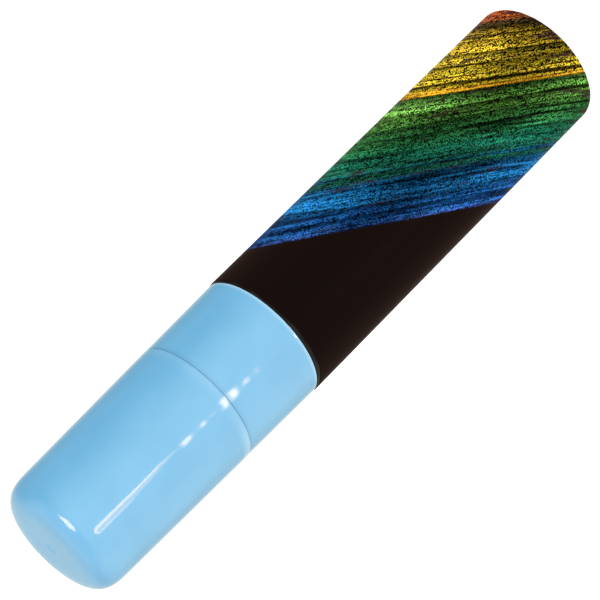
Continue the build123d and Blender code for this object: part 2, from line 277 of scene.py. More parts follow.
bluePlastic = mouldedPlastic("bluePlastic", dict(
    deep=(0.138, 0.405, 0.64), pale=(0.152, 0.427, 0.667), speck=(0.26, 0.56, 0.8), speckle=0.25,
    wearAndHighlightColour=(0.5, 0.74, 0.88), wearAndHighlightStrength=1.0, gloss=0.5, rough=(0.06, 0.1), cloudScale=130, skin=0.05,
    sinks=0.4, sinkScale=160, sinkStretch=(1, 1, 0.6)))
blackPlastic = mouldedPlastic("blackPlastic", dict(
    deep=(0.008, 0.0072, 0.0072), pale=(0.017, 0.015, 0.0146), speck=(0.06, 0.056, 0.054), speckle=0.5,
    wearAndHighlightColour=(0.06, 0.056, 0.054), wearAndHighlightStrength=0.5, gloss=0.03, rough=(0.3, 0.45), cloudScale=220, skin=0.3,
    sinks=0.2, sinkScale=180, sinkStretch=(1, 1, 1)))
linerPlastic = mouldedPlastic("linerPlastic", dict(
    deep=(0.7, 0.72, 0.71), pale=(0.8, 0.82, 0.81), speck=(0.6, 0.62, 0.6), speckle=0.3,
    wearAndHighlightColour=(0.85, 0.86, 0.85), wearAndHighlightStrength=0.3, gloss=0.4, rough=(0.32, 0.45), cloudScale=160, skin=0.15,
    sinks=0.3, sinkScale=200, sinkStretch=(1, 1, 0.5)))
valvePlastic = mouldedPlastic("valvePlastic", dict(
    deep=(0.6, 0.61, 0.58), pale=(0.72, 0.73, 0.7), speck=(0.5, 0.5, 0.46), speckle=0.4,
    wearAndHighlightColour=(0.8, 0.8, 0.78), wearAndHighlightStrength=0.3, gloss=0.4, rough=(0.35, 0.5), cloudScale=300, skin=0.2,
    sinks=0.2, sinkScale=260, sinkStretch=(1, 1, 1)))
sealRubber = mouldedPlastic("sealRubber", dict(
    deep=(0.012, 0.012, 0.013), pale=(0.025, 0.025, 0.026), speck=(0.07, 0.07, 0.07), speckle=0.6,
    wearAndHighlightColour=(0.05, 0.05, 0.05), wearAndHighlightStrength=0.3, gloss=0.25, rough=(0.6, 0.8), cloudScale=400, skin=0.6,
    sinks=0.2, sinkScale=300, sinkStretch=(1, 1, 1)))


# Bright metal: drawn lines along one direction over small clouds
def brightSteel(name, look):
    made, tree, shader, coords = material(name, {"Metallic": 1.0})
    lines = noise(tree, coords, look["lineScale"], 3, look["lineStretch"])
    colour = mixColours(tree, lines, look["deep"], look["pale"])
    rough = smooth(tree, noise(tree, coords, look["roughScale"]), *noiseSpan, *look["rough"])
    plug(tree, shader, Base_Color=colour, Roughness=rough,
         Normal=bump(tree, lines, look["lines"], look["lineDepth"]))
    return made


springSteel = brightSteel("springSteel", dict(
    deep=(0.42, 0.42, 0.41), pale=(0.62, 0.62, 0.6), rough=(0.22, 0.38), roughScale=700,
    lineScale=1800, lineStretch=(1, 1, 3), lines=0.3, lineDepth=0.02))
ballSteel = brightSteel("ballSteel", dict(
    deep=(0.55, 0.55, 0.55), pale=(0.68, 0.68, 0.67), rough=(0.06, 0.14), roughScale=700,
    lineScale=900, lineStretch=(1, 1, 1), lines=0.06, lineDepth=0.02))


# Pressed felt: long fibres along the nib, crossed fibres on top and a soft sheen
def feltMaterial(look):
    made, tree, shader, coords = material("nibFelt", {
        "Roughness": look["rough"], "Sheen Weight": look["sheen"], "Specular IOR Level": look["gloss"]})
    along = noise(tree, coords, look["fibreScale"], 4, (1, 1, look["fibreStretch"]), look["fibreRough"])
    cross = noise(tree, coords, look["fuzzScale"], 4, (1, 1, 1), look["fuzzRough"])
    fibre = math2(tree, "ADD", times(tree, along, 1 - look["fuzz"]), times(tree, cross, look["fuzz"]))
    colour = mixColours(tree, smooth(tree, fibre, *look["tones"]), look["deep"], look["pale"])
    plug(tree, shader, Base_Color=colour, Normal=bump(tree, fibre, look["pile"], look["pileDepth"]))
    return made


nibFelt = feltMaterial(dict(
    deep=(0.62, 0.62, 0.58), pale=(0.86, 0.86, 0.83), tones=(0.36, 0.6), rough=0.9, sheen=0.25, gloss=0.2,
    fibreScale=2400, fibreStretch=0.12, fibreRough=0.65, fuzzScale=3200, fuzzRough=0.7, fuzz=0.4,
    pile=0.7, pileDepth=0.25))


# Printed film: chalk hatching over warm black. UV x runs along the strokes and y across them, with y = 0 at
# the edge of the chalk. Strokes are steps of y warped by noise: the whole part of a step numbers the
# stroke, which has its own tone and shift of colour, and the rest runs over its width, from a dark line and
# a full flank to a thin one. Scratches, patches and pits darken the tone, and so does the tail; painted
# shade darkens it at the front and painted light brightens it at the sides.
# The rainbow runs across the strokes, and its alpha is the grain's contrast as a share of mostGrain. The
# chalk's light is tone times 2^(contrast * (grain + clumps) + streaks), so that bright specks lie on a deep
# ground, each with a tinge of its own. Gaps in the chalk show the ground.
def filmMaterial(look):
    made, tree, shader, coords = material("printedFilm", {
        "Specular IOR Level": look["gloss"], "Sheen Roughness": look["sheenRough"],
        "Sheen Tint": look["sheenTint"] + (1,)})

    # noise on the strokes from its scale, detail, stretch along and across them, and roughness
    def strokes(place, scale, detail, along, across=1.0, roughness=0.5):
        return noise(tree, place, scale, detail, (along, across, 1), roughness)

    # strokes, each with its own tone
    uv = node(tree, "UVMap", uv_map="strokes").outputs[0]
    bend = times(tree, centred(tree, strokes(uv, *look["bendNoise"])), look["bend"])
    uv = node(tree, "VectorMath", {0: uv, 1: node(tree, "CombineXYZ", {1: bend}).outputs[0]}).outputs[0]
    across = parts(tree, uv)[1]
    grain = centred(tree, noise(tree, coords, look["grainScale"], 1, roughness=look["grainRough"]))
    clumps = centred(tree, strokes(uv, *look["clumpNoise"]))
    streaks = centred(tree, strokes(uv, *look["streakNoise"]))
    warp = centred(tree, strokes(uv, *look["warpNoise"]))
    step = math2(tree, "DIVIDE", timesPlus(tree, warp, look["warp"], across), look["strokeWidth"])
    whole = math2(tree, "FLOOR", step)
    chance = node(tree, "TexWhiteNoise", {"W": whole}, noise_dimensions="1D").outputs["Color"]
    chance = node(tree, "SeparateColor", {0: chance}).outputs
    over = math2(tree, "FRACT", timesPlus(tree, grain, look["ragged"], step))
    lineWidth = smooth(tree, strokes(uv, *look["lineNoise"]), *look["lineWidth"])
    tone = timesPlus(tree, chance[1], look["tones"][1], look["tones"][0])
    shades = [smooth(tree, over, *look["flank"]), smooth(tree, over, 0.0, lineWidth, look["line"], 1.0),
              smooth(tree, strokes(uv, *look["scratchNoise"]), *look["scratches"]),
              smooth(tree, strokes(uv, *look["patchNoise"]), *look["patches"])]
    for shade in shades:
        tone = times(tree, tone, shade)

    # rainbow and the power of two of each speck
    shift = times(tree, centred(tree, chance[0]), look["colourShift"])
    place = math2(tree, "DIVIDE", math2(tree, "ADD", across, shift), look["rainbowWidth"])
    ramp = node(tree, "ValToRGB", {0: place})
    stops = ramp.color_ramp.elements
    for number, (depth, colour, grit) in enumerate(look["rainbow"]):
        position = depth / strokeUnit / look["rainbowWidth"]
        stop = stops[number] if number < 2 else stops.new(position)
        stop.position, stop.color = position, colour + (grit / look["mostGrain"],)
    rainbow, contrast = ramp.outputs
    power = timesPlus(tree, clumps, look["clump"], grain)
    power = times(tree, times(tree, contrast, look["mostGrain"]), power)
    power = math2(tree, "MINIMUM", timesPlus(tree, streaks, look["streak"], power), look["most"])

    # gritty chalk has pits, and calm chalk has more even tones
    gritty = smooth(tree, contrast, *(bound / look["mostGrain"] for bound in look["gritty"]))
    tone = math2(tree, "POWER", tone, timesPlus(tree, gritty, 1 - look["calm"], look["calm"]))
    pits = smooth(tree, strokes(uv, *look["pitNoise"]), *look["pits"])
    tone = times(tree, tone, math2(tree, "SUBTRACT", 1.0, times(tree, pits, gritty)))
    x, y, z = parts(tree, coords)
    # painted shade at the front and painted light at the sides: the tone is scaled by the angle from the
    # front
    beside = math2(tree, "ABSOLUTE", math2(tree, "SUBTRACT", frontAngle(tree, x, y), look["frontTurn"]))
    tone = times(tree, tone, smooth(tree, beside, *look["paintedFrontShadeSideLight"]))
    tone = times(tree, tone, smooth(tree, z, 0.0, look["tailFade"] * mm, look["tailTone"], 1.0))
    tone = math2(tree, "DIVIDE", times(tree, tone, 1 + look["knee"]),  # a soft knee for the brightest
                 timesPlus(tree, tone, look["knee"], 1.0))
    light = times(tree, tone, math2(tree, "POWER", 2.0, power))

    # chalk with its tinges, gaps and frayed edge
    inputs = {"Vector": coords, "Scale": look["tingeScale"], "Detail": 1.0}
    tinge = node(tree, "TexNoise", inputs).outputs["Color"]
    tinge = node(tree, "VectorMath", {0: tinge, 1: (2 * look["tinge"],) * 3, 2: (1 - look["tinge"],) * 3},
                 operation="MULTIPLY_ADD").outputs[0]
    chalk = node(tree, "VectorMath", {0: rainbow, 1: tinge}, operation="MULTIPLY").outputs[0]
    chalk = scaleColour(tree, chalk, light)
    gaps = timesPlus(tree, grain, -look["gapFray"], strokes(uv, *look["gapNoise"]))
    gaps = math2(tree, "ADD", gaps, smooth(tree, z, 0.0, look["tailFade"] * mm, look["tailBare"], 0.0))
    gaps = times(tree, smooth(tree, gaps, *look["gaps"]), look["gapDepth"])
    edge = smooth(tree, timesPlus(tree, grain, look["fray"], across), *look["edge"])
    colour = mixColours(tree, edge, look["black"], mixColours(tree, gaps, chalk, look["ground"]))
    cover = times(tree, math2(tree, "SUBTRACT", 1.0, gaps), edge)
    sheen = timesPlus(tree, cover, -look["dull"] * look["sheen"], look["sheen"])
    rough = smooth(tree, noise(tree, coords, look["roughScale"], 3), *noiseSpan, *look["rough"])
    ripples = noise(tree, coords, look["rippleScale"], 2, look["rippleStretch"])
    plug(tree, shader, Base_Color=colour, Roughness=rough, Sheen_Weight=sheen,
         Normal=bump(tree, ripples, look["ripple"], look["rippleDepth"]))
    return made


printedFilm = filmMaterial(dict(
    black=(0.0064, 0.0036, 0.0031), ground=(0.02, 0.008, 0.011), gloss=0.001, rough=(0.3, 0.38),
    roughScale=260, sheen=0.037, sheenTint=(1, 0.5, 0.35), sheenRough=0.5, dull=0.85,
    ripple=0.12, rippleDepth=0.1, rippleScale=90, rippleStretch=(1, 1, 0.35),
    bend=0.012, bendNoise=(3.2, 1, 0.4), warp=0.045, warpNoise=(16, 1, 0.09), strokeWidth=0.024, ragged=0.02,
    line=0.05, lineWidth=(0.35, 0.7, 0.02, 0.2), lineNoise=(22, 1, 0.08, 0.6), flank=(0.1, 1.0, 1.0, 0.35),
    tones=(0.2, 1.6), colourShift=0.02, scratches=(0.36, 0.44, 0.14, 1.0), scratchNoise=(95, 1, 0.025),
    patches=(0.36, 0.62, 0.48, 1.2), patchNoise=(10.7, 2, 0.3), pits=(0.38, 0.44, 1.0, 0.0),
    pitNoise=(260, 1, 0.4), gritty=(14, 46), calm=0.62, knee=0.4,
    frontTurn=4, paintedFrontShadeSideLight=(4.0, 53, 0.64, 1.75), grainScale=3500, grainRough=0.6, mostGrain=60.0, clump=0.5,
    clumpNoise=(200, 2, 0.3, 1.0, 0.6), streak=11.0, streakNoise=(170, 2, 0.035, 1.0, 0.6), most=1.5,
    tinge=0.6, tingeScale=2600, gaps=(0.63, 0.69), gapDepth=0.85, gapFray=0.25, gapNoise=(62, 2, 0.1),
    tailFade=10, tailTone=0.85, tailBare=0.14, edge=(-0.0008, 0.0012), fray=0.004, rainbowWidth=0.8,
    rainbow=[  # mm below the edge of the chalk, colour, contrast of the grain
        (0.0, (0.026, 0.042, 0.16), 18), (1.2, (0.013, 0.084, 0.28), 18), (2.6, (0.003, 0.03, 0.095), 18),
        (4.5, (0.004, 0.04, 0.1), 19), (7.2, (0.007, 0.1, 0.25), 19), (9.2, (0.002, 0.026, 0.06), 20),
        (10.0, (0.005, 0.052, 0.034), 22), (13.0, (0.009, 0.118, 0.067), 25), (16.0, (0.013, 0.1, 0.034), 30),
        (18.5, (0.027, 0.108, 0.024), 36), (21.2, (0.09, 0.235, 0.038), 38),
        (24.3, (0.012, 0.036, 0.008), 38), (24.7, (0.42, 0.22, 0.011), 10), (25.3, (0.4, 0.21, 0.011), 12),
        (25.8, (0.54, 0.39, 0.022), 44), (29.0, (0.76, 0.55, 0.028), 46), (30.6, (0.36, 0.26, 0.02), 46),
        (33.0, (0.48, 0.32, 0.018), 48), (34.6, (0.36, 0.24, 0.016), 50), (36.0, (0.05, 0.032, 0.006), 50),
        (37.8, (0.03, 0.017, 0.006), 44), (38.6, (0.2, 0.045, 0.01), 24)]))
print("materials made:", len(bpy.data.materials))


# Attribute of an edge: a vertex outside the given radius gets amount * exp(-(z - edge)^2 / spread^2), where
# the amount grows by more * (-x / radius)^4 towards the -X side
def markEdge(piece, name, radius, edge, spread, amount, more=0.0):
    points = np.zeros(len(piece.data.vertices) * 3, np.float32)
    piece.data.vertices.foreach_get("co", points)
    x, y, z = points.reshape(-1, 3).T / mm
    amount = amount + more * np.clip(-x / radius, 0, 1) ** 4
    mark = np.where(np.hypot(x, y) > radius, amount * np.exp(-((z - edge) / spread) ** 2), 0)
    piece.data.attributes.new(name, "FLOAT", "POINT").data.foreach_set("value", mark.astype(np.float32))


# gives a piece its finish and its body, and hides the CAD nodes that it stands for
def dress(piece, finish, slot, body, *nodes):
    piece.data.materials.append(finish)
    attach(piece, body)
    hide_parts(*nodes)
    return piece


# Cap liner: a cup of revolution, open below
linerBase, linerTop, linerRadius = reach("cap_liner")
linerCup = dict(wall=0.9, draft=1.2, topRound=1.1, insideRound=0.7, lipRound=0.22, columns=144)


def makeLiner(look):
    topRadius, roof = linerRadius - look["draft"], linerTop - look["wall"]
    path = roundedPath([
        (ring(0, linerTop), 0),
        (ring(topRadius, linerTop), look["topRound"]),
        (ring(linerRadius, linerBase), look["lipRound"]),
        (ring(linerRadius - look["wall"], linerBase), look["lipRound"]),
        (ring(topRadius - look["wall"], roof), look["insideRound"]),
        (ring(0, roof), 0)])
    return skin("linerCup", loops(path, evenTurns(look["columns"])), "poles")


dress(makeLiner(linerCup), linerPlastic, "liner_plastic", "cap_body", "cap_liner")

# Cap: a drafted shell of revolution. Its end is rounded by a superellipse: at a share of the rounded height
# the wall goes in by 1 - (1 - share^power)^(1 / power) of the end's reach, so that the flat end eases into
# the wall. Inside, ribs pull the wall in to the liner.
capBase, capTop, capRadius = reach("cap")
capShell = dict(
    wall=1.3, draft=0.8, endReach=10.0, endHeight=8.0, endPower=3.6, endInside=4.45, endSteps=64,
    rimRound=0.16, rimDrop=0.09, lead=0.35, leadFoot=0.1, leadRound=0.2, gateRadius=1.5, gateShare=0.4,
    gateDepth=0.24, gateFoot=1.2, gateRound=1.5, ribs=6, ribThickness=0.9, ribStart=15.4, ribGap=0.05,
    ribBevel=0.4, ribFlank=0.4, ribClear=2, between=27, steps=12, hair=0.01)


def capWall(z):
    return capRadius - capShell["draft"] * (z - capBase) / (capTop - capBase)


def capOutline(z):
    share = np.clip(1 - (capTop - z) / capShell["endHeight"], 0, 1)
    power = capShell["endPower"]
    return capWall(z) - capShell["endReach"] * (1 - (1 - share ** power) ** (1 / power))


def makeCap(look):
    def bore(z):
        return capWall(z) - look["wall"]

    steps, hair, flank, clear = look["steps"], look["hair"], look["ribFlank"], look["ribClear"]
    roof, ribFoot, lead = capTop - look["wall"], capBase + look["ribStart"], look["lead"]
    rim, shoulder = capBase - look["rimDrop"], capTop - look["endHeight"]
    gateZ, gateRadius, bevel = capTop - look["gateDepth"], look["gateRadius"], ribFoot - look["ribBevel"]
    gate = roundedPath([
        (ring(0, gateZ), 0),
        (ring(look["gateShare"] * gateRadius, gateZ), look["gateFoot"]),
        (ring(gateRadius, capTop), look["gateRound"]),
        (ring(capOutline(capTop), capTop), 0)], arcSteps=steps, runSteps=steps)
    t = np.linspace(math.pi / 2, 0, look["endSteps"] + 1)[1:-1]
    z = shoulder + look["endHeight"] * np.sin(t) ** (2 / look["endPower"])
    radius = capOutline(z)
    walls = roundedPath([
        (ring(capWall(shoulder), shoulder), 0),
        (ring(capWall(rim), rim), look["rimRound"]),
        (ring(bore(capBase) + lead, rim), look["leadFoot"]),
        (ring(bore(capBase + lead), capBase + lead), look["leadRound"]),
        (ring(bore(bevel), bevel), 0),
        (ring(bore(ribFoot), ribFoot), 0),
        (ring(bore(roof), roof), look["endInside"]),
        (ring(0, roof), 0)], arcSteps=steps, runSteps=steps)
    path = np.concatenate([gate, np.stack([radius, radius, radius, z], axis=-1), walls])
    pitch = 360 / look["ribs"]
    half = math.degrees(look["ribThickness"] / 2 / bore(ribFoot))
    gap = np.linspace(half + clear, pitch - half - clear, look["between"])
    sector = np.r_[-half - flank, -half, half, half + flank, gap]
    degrees = (sector[None] + pitch * np.arange(look["ribs"])[:, None]).ravel() % 360
    rows = loops(path, np.sort(degrees) / 90)
    angle = np.degrees(np.arctan2(rows[..., 1], rows[..., 0])) % pitch
    radius, z = np.hypot(rows[..., 0], rows[..., 1]), rows[..., 2]
    onRib = np.minimum(angle, pitch - angle) < half + hair
    inside = (np.arange(len(path)) > np.argmin(path[:, 3]))[:, None]
    tip = linerRadius + look["ribGap"] - linerCup["draft"] * (z - linerBase) / (linerTop - linerBase)
    wanted = np.where(onRib & inside & (z > ribFoot - hair), np.minimum(radius, tip), radius)
    rows[..., :2] *= (wanted / np.maximum(radius, tiny))[..., None]
    return skin("capShell", rows, "poles")


capPiece = makeCap(capShell)
# painted highlight: the cap's rim is paled a little all round and much more towards the -X side
markEdge(capPiece, "wearAndHighlight", radius=capRadius - 0.35, edge=capBase + 0.5, spread=0.6, amount=0.1, more=0.6)
dress(capPiece, bluePlastic, "blue_plastic", "cap_body", "cap")
print("cap and liner made")

# Front section: one closed ring of loops, round at the plug, collar and spigot, and rounded rectangles at
# the nib tower and its slot; an air vent widens each broad side of the slot
plugBase, towerTop, collarRadius = reach("front_section")
mouth, barrelRadius = reach("barrel")[1:]
nibBase, nibTop, nibHalfWidth = reach("nib")
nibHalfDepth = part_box("nib")[1].y / mm
frontMoulding = dict(
    plugRadius=13.45, boreRadius=11.85, plugLead=0.6, grooveAt=5.0, grooveWidth=1.6, grooveDepth=0.9,
    snapBelowMouth=3.0, snapWidth=1.6, snapHeight=0.2, snapRound=0.3, collarLength=19.9, collarDraft=0.35,
    collarRound=0.3, collarBand=2, ledgeRound=0.16, ledgeFoot=0.15, spigotRadius=13.0, spigotTopRadius=12.58,
    spigotLength=11.5, spigotRound=0.8, beadAt=4.0, beadWidth=1.8, beadRadius=13.13, beadRound=0.8,
    beadFoot=0.6, shoulder=2.0, towerWall=1.3, towerFlare=0.8, towerCorner=2.4, towerFoot=0.5, towerRound=0.4,
    nibGap=0.15, slotCorner=0.95, slotRound=0.25, guideDrop=6.0, chamberRadius=10.9, chamberRound=0.5,
    roofRound=0.3, stepBelowSeam=7.88, ventRadius=0.6, fine=0.05, small=0.1, soft=0.2, hair=0.01, columns=208)


def makeFront(look):
    fine, small, soft = look["fine"], look["small"], look["soft"]
    plugR, boreR, chamberR = look["plugRadius"], look["boreRadius"], look["chamberRadius"]
    grooveR, grooveZ = plugR - look["grooveDepth"], plugBase + look["grooveAt"]
    grooveTop = grooveZ + look["grooveWidth"]
    snapZ, snapHalf = mouth - look["snapBelowMouth"], look["snapWidth"] / 2
    seam, band = mouth + look["collarLength"], look["collarBand"]
    bead, shoulder = seam + look["beadAt"], seam + look["spigotLength"]
    roof = shoulder - look["shoulder"]
    guide = roof - look["guideDrop"]
    step = seam - look["stepBelowSeam"]
    slotX, slotY = nibHalfWidth + look["nibGap"], nibHalfDepth + look["nibGap"]
    towerX, towerY, flare = slotX + look["towerWall"], slotY + look["towerWall"], look["towerFlare"]
    spigotFoot, spigotTop = look["spigotRadius"], look["spigotTopRadius"]

    def spigot(z):
        return spigotFoot + (spigotTop - spigotFoot) * (z - seam) / look["spigotLength"]

    beadLow, beadHigh = bead - look["beadWidth"] / 2, bead + look["beadWidth"] / 2
    path = roundedPath([
        (ring(boreR, plugBase), small),
        (ring(plugR - look["plugLead"], plugBase), small),
        (ring(plugR, plugBase + look["plugLead"]), soft),
        (ring(plugR, grooveZ), fine),
        (ring(grooveR, grooveZ), fine),
        (ring(grooveR, grooveTop), fine),
        (ring(plugR, grooveTop), fine),
        (ring(plugR, snapZ - snapHalf), soft),
        (ring(plugR + look["snapHeight"], snapZ), look["snapRound"]),
        (ring(plugR, snapZ + snapHalf), soft),
        (ring(plugR, mouth), fine),
        (ring(collarRadius, mouth), look["collarRound"]),
        (ring(collarRadius - look["collarDraft"] * (1 - band / look["collarLength"]), seam - band), 0),
        (ring(collarRadius - look["collarDraft"], seam), look["ledgeRound"]),
        (ring(spigotFoot, seam), look["ledgeFoot"]),
        (ring(spigot(beadLow), beadLow), look["beadFoot"]),
        (ring(look["beadRadius"], bead), look["beadRound"]),
        (ring(spigot(beadHigh), beadHigh), look["beadFoot"]),
        (ring(spigotTop, shoulder), look["spigotRound"]),
        ((towerX + flare, towerY + flare, look["towerCorner"] + flare, shoulder), look["towerFoot"]),
        ((towerX, towerY, look["towerCorner"], towerTop), look["towerRound"]),
        ((slotX, slotY, look["slotCorner"], towerTop), look["slotRound"]),
        ((slotX, slotY, look["slotCorner"], guide), small),
        ((towerX, towerY, look["towerCorner"], guide), soft),
        ((towerX, towerY, look["towerCorner"], roof), look["roofRound"]),
        (ring(chamberR, roof), look["chamberRound"]),
        (ring(chamberR, step), fine),
        (ring(boreR, step), fine)], closed=True)
    rows = loops(path, evenTurns(look["columns"]))
    x, y = rows[..., 0], rows[..., 1]
    inSlot = (path[:, 1] < slotY + look["hair"])[:, None]
    notch = np.sqrt(np.maximum(look["ventRadius"] ** 2 - x ** 2, 0))
    rows[..., 1] = y + np.where(inSlot, np.sign(y) * notch, 0)
    return skin("frontMoulding", rows, "ring")


frontPiece = makeFront(frontMoulding)
# painted highlight: a pale line along the collar's lower edge
markEdge(frontPiece, "wearAndHighlight", radius=collarRadius - 0.35, edge=mouth + 0.15, spread=0.25, amount=0.6)
# painted shade: the collar darkens just below the seam, fading out towards the -X side
markEdge(frontPiece, "paintedSeamShade", radius=collarRadius - 0.6, edge=mouth + frontMoulding["collarLength"],
         spread=0.65, amount=0.15, more=-0.15)
dress(frontPiece, bluePlastic, "blue_plastic", "barrel_body", "front_section")

# Barrel: a tube of revolution with a closed tail, a foot ring round the recessed base and a gate mark
barrelShell = dict(
    wall=1.35, base=1.6, recess=0.6, footWidth=3.8, footRound=0.25, tailRound=1.6, floorRound=2.4,
    gateRadius=0.9, gateShare=0.7, gateDepth=0.25, snapBelowMouth=3.0, snapWidth=1.6, snapHeight=0.2,
    snapRound=0.2, mouthRound=0.12, small=0.1, columns=176)


def makeBarrel(look):
    bore, recess, small = barrelRadius - look["wall"], look["recess"], look["small"]
    inner, floor = barrelRadius - look["footWidth"], look["recess"] + look["base"]
    snap, half = mouth - look["snapBelowMouth"], look["snapWidth"] / 2
    path = roundedPath([
        (ring(0, recess - look["gateDepth"]), 0),
        (ring(look["gateShare"] * look["gateRadius"], recess - look["gateDepth"]), small),
        (ring(look["gateRadius"], recess), small),
        (ring(inner - recess / 2, recess), look["footRound"]),
        (ring(inner, recess / 2), small),
        (ring(inner + recess / 2, 0), look["footRound"]),
        (ring(barrelRadius, 0), look["tailRound"]),
        (ring(barrelRadius, mouth), look["mouthRound"]),
        (ring(bore, mouth), look["mouthRound"]),
        (ring(bore, snap + half), look["snapRound"]),
        (ring(bore + look["snapHeight"], snap), look["snapRound"]),
        (ring(bore, snap - half), look["snapRound"]),
        (ring(bore, floor), look["floorRound"]),
        (ring(0, floor), 0)])
    return skin("barrelShell", loops(path, evenTurns(look["columns"])), "poles")


barrelPiece = makeBarrel(barrelShell)
markEdge(barrelPiece, "wearAndHighlight", radius=barrelRadius - barrelShell["footWidth"], edge=0, spread=0.12, amount=1.0)
dress(barrelPiece, blackPlastic, "black_barrel", "barrel_body", "barrel")
print("front section and barrel made")

# Printed film: a sleeve on a grid of angle round the barrel and height down it, 0 at the front (-Y). It
# turns in round the tail, its ends overlap at the back, its top edge is cut a little unevenly and its
# shrunk hem puckers.
filmTop, filmRadius = reach("printed_sleeve")[1:]
filmSleeve = dict(
    thickness=0.14, wrap=55, wrapRows=12, topRows=(0, 0.03, 0.1, 0.3, 0.65, 1), straightFrom=2,
    straightRows=70, columns=300, backGap=0.0006, overlap=4.0, lapTurn=0.02, layer=0.05, under=1.1,
    uneven=0.13, unevenDepth=8,
    waves=((3, 0.6, 1), (7, 0, 0.6), (17, 2, 0.35)),  # count, phase and share of each wave of the top edge
    skew=0.15, pucker=0.05, puckers=34, secondPuckers=0.37, puckerPhase=1, puckerFrom=0.5,
    chalkHeight=55.0, chalkLift=25.4, chalkLean=-0.3, chalkFan=0.064, fanTurn=0.675)


def makeFilm(look):
    corner = barrelShell["tailRound"]
    turn = filmRadius - barrelRadius + corner
    back, ends, lapTurn = math.pi - look["backGap"], math.pi - look["overlap"] / filmRadius, look["lapTurn"]
    even = np.linspace(-back, back, look["columns"])
    around = np.sort(np.r_[even, ends - lapTurn, ends, ends + lapTurn])[None]
    inward = np.radians(np.linspace(0, look["wrap"], look["wrapRows"])[1:])
    spaced = np.linspace(look["straightFrom"], filmTop - corner, look["straightRows"])
    straight = np.r_[look["topRows"], spaced]
    depth = np.r_[straight, filmTop - corner + turn * inward][:, None]
    bent = np.r_[0 * straight, inward][:, None]
    lap = np.clip((around - ends) / lapTurn + 0.5, 0, 1)
    first = look["puckers"] * around
    hem = look["pucker"] * (np.sin(first) + np.sin(look["secondPuckers"] * first + look["puckerPhase"])) / 2
    waves = sum(share * np.sin(count * around + phase) for count, phase, share in look["waves"])
    fade = np.clip(1 - depth / look["unevenDepth"], 0, 1) ** 2
    top = fade * (look["uneven"] * waves + look["skew"] * (np.sin(around) - 1))
    z = np.where(bent > 0, corner - turn * np.sin(bent), filmTop - depth) + top

    def layer(inset):
        radius = filmRadius - look["layer"] * (look["under"] - lap) - turn * (1 - np.cos(bent))
        radius = radius - inset * np.cos(bent) - np.where(bent > look["puckerFrom"], np.abs(hem), 0)
        height = z + inset * np.sin(bent)
        return np.stack([radius * np.sin(around), -radius * np.cos(around), height], axis=-1)

    outside, inside = layer(0), layer(look["thickness"] - look["layer"])
    rows = np.concatenate([outside, inside[::-1]])
    piece = skin("filmSleeve", rows, "ring")
    # strokes are tilted rings of height chalkHeight + chalkLift * sin(lean)
    lean = around - look["chalkLean"]
    walked = np.hypot(filmRadius, look["chalkLift"] * np.cos(lean)) * np.gradient(around[0])
    along = np.cumsum(walked, axis=1) + 0 * depth
    below = look["chalkHeight"] + look["chalkLift"] * np.sin(lean) - (filmTop - depth)
    fan = look["chalkFan"] * np.sin(lean - look["fanTurn"])  # deeper strokes lie flatter
    below = below / (math.hypot(1, look["chalkLift"] / filmRadius) + fan)
    strokes = np.stack([along, below], axis=-1) / strokeUnit
    strokes = np.concatenate([strokes, strokes[::-1]]).reshape(-1, 2)
    corners = np.zeros(len(piece.data.loops), np.int64)
    piece.data.loops.foreach_get("vertex_index", corners)
    chart = piece.data.uv_layers.new(name="strokes")
    chart.data.foreach_set("uv", strokes[corners].astype(np.float32).ravel())
    return piece


dress(makeFilm(filmSleeve), printedFilm, "printed_film", "barrel_body", "printed_sleeve")
print("printed film made")

# Nib: rounded rectangles up the block; the end slopes away from a land along one broad side, softened by a
# softplus bend, and the last loops shrink to a line that strips of quads close
feltNib = dict(corner=0.9, land=1.6, slant=4.2, edge=0.45, soften=0.35, hair=0.02, margin=0.01, endLoops=9,
               edgeLoops=7, sideLoops=30, columns=176)


def makeNib(look):
    landY = look["land"] - nibHalfDepth
    slope = look["slant"] / (2 * nibHalfDepth - look["land"])
    shrink = np.linspace(nibHalfDepth - look["hair"], look["edge"], look["endLoops"])
    curve = look["edge"] * (1 - np.cos(np.linspace(0, math.pi / 2, look["edgeLoops"])))
    sides = np.linspace(look["margin"], 1 - look["margin"], look["sideLoops"])
    inset = np.r_[shrink, curve[::-1][1:], 0 * sides, curve[1:], shrink[::-1][1:]]
    share = np.r_[0 * shrink, 0 * curve[1:], sides, 0 * curve[1:] + 1, 0 * shrink[1:] + 1]
    drop = look["edge"] * (1 - np.sqrt(np.maximum(1 - (1 - np.minimum(inset / look["edge"], 1)) ** 2, 0)))
    corner = np.maximum(look["corner"] - inset, look["hair"])
    path = np.stack([nibHalfWidth - inset, nibHalfDepth - inset, corner, share], axis=-1)
    rows = loops(path, evenTurns(look["columns"]))
    over = (rows[..., 1] - landY) / look["soften"]
    top = nibTop - slope * look["soften"] * np.logaddexp(0, over)
    low, high = nibBase + drop[:, None], top - drop[:, None]
    rows[..., 2] = low + (high - low) * rows[..., 2]
    return skin("feltNib", rows, "strips")


dress(makeNib(feltNib), nibFelt, "nib_felt", "nib_pump", "nib")

# Valve spring: a wire swept along a helix whose rise eases in and out, so that its end turns lie flat
springBase, springTop, springReach = reach("valve_spring")
coilSpring = dict(turns=4, wire=0.7, flatEnds=0.55, seatGap=0.05, press=2.5, steps=240, sides=14)


